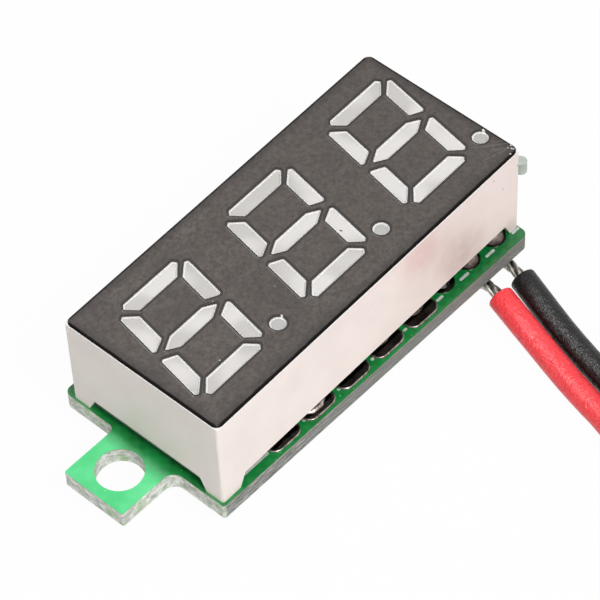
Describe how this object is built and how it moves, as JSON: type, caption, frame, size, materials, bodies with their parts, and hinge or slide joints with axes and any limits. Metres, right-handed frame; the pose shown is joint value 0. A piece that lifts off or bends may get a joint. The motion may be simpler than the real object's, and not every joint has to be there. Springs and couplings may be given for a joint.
{
  "type": "digital panel meter",
  "caption": "Small panel meter: leaning seven-segment digits in a white housing on a green board with an ear and hole at each end, and two leads.",
  "frame": {"origin": "centre of the bounding box's underside, without the leads: under the middle of the board, level with the tips of the display's pins", "axes": "+X the reading direction, +Y up the digits, +Z out of the face; it lies on its back"},
  "size_m": [0.0381, 0.0385, 0.0089],
  "materials": {
    "board_green": "green solder resist on woven fibreglass",
    "pad_metal": "tinned copper",
    "housing_white": "moulded, satin",
    "face_film": "dark printed film, satin",
    "segment_resin": "milky cast resin",
    "light_chip": "bare chip",
    "inner_board": "pale fibreglass",
    "potting_resin": "cast resin",
    "pin_metal": "tinned",
    "solder": "bright solder",
    "chip_black": "moulded epoxy",
    "lead_metal": "tinned",
    "capacitor_ceramic": "fired ceramic",
    "resistor_black": "glazed film on ceramic",
    "trimmer_white": "ceramic",
    "trimmer_metal": "stamped metal",
    "strand_metal": "tinned copper strands",
    "red_insulation": "soft, satin",
    "black_insulation": "soft, satin"
  },
  "bodies": {
    "meter": {"black_lead": "black_insulation", "black_lead_coil": "black_insulation", "black_lead_tip": "strand_metal", "black_strands": "strand_metal", "capacitors": "capacitor_ceramic", "chip_part_ends": "lead_metal", "circuit_board": "board_green", "controller_body": "chip_black", "controller_leads": "lead_metal", "digit_1_point": "segment_resin", "digit_1_segment_a": "segment_resin", "digit_1_segment_b": "segment_resin", "digit_1_segment_c": "segment_resin", "digit_1_segment_d": "segment_resin", "digit_1_segment_e": "segment_resin", "digit_1_segment_f": "segment_resin", "digit_1_segment_g": "segment_resin", "digit_2_point": "segment_resin", "digit_2_segment_a": "segment_resin", "digit_2_segment_b": "segment_resin", "digit_2_segment_c": "segment_resin", "digit_2_segment_d": "segment_resin", "digit_2_segment_e": "segment_resin", "digit_2_segment_f": "segment_resin", "digit_2_segment_g": "segment_resin", "digit_3_point": "segment_resin", "digit_3_segment_a": "segment_resin", "digit_3_segment_b": "segment_resin", "digit_3_segment_c": "segment_resin", "digit_3_segment_d": "segment_resin", "digit_3_segment_e": "segment_resin", "digit_3_segment_f": "segment_resin", "digit_3_segment_g": "segment_resin", "diode_body": "chip_black", "diode_leads": "lead_metal", "display_pins": "pin_metal", "display_shell": "housing_white", "face_film": "face_film", "hole_plating": "pad_metal", "lead_solder": "solder", "led_chips": "light_chip", "led_substrate": "inner_board", "pin_solder": "solder", "potting_resin": "potting_resin", "red_lead": "red_insulation", "red_lead_coil": "red_insulation", "red_lead_tip": "strand_metal", "red_strands": "strand_metal", "regulator_body": "chip_black", "regulator_leads": "lead_metal", "resistors": "resistor_black", "trimmer_base": "trimmer_white", "trimmer_terminals": "lead_metal"},
    "rotor": {"trimmer_rotor": "trimmer_metal"}
  },
  "joints": [
    {"name": "trimmer_turn", "type": "hinge", "parent": "meter", "child": "rotor", "pos_m": [0.0083, 0.00155, 0.0013], "axis": [0, 0, 1], "range_deg": [-105, 105]}
  ]
}
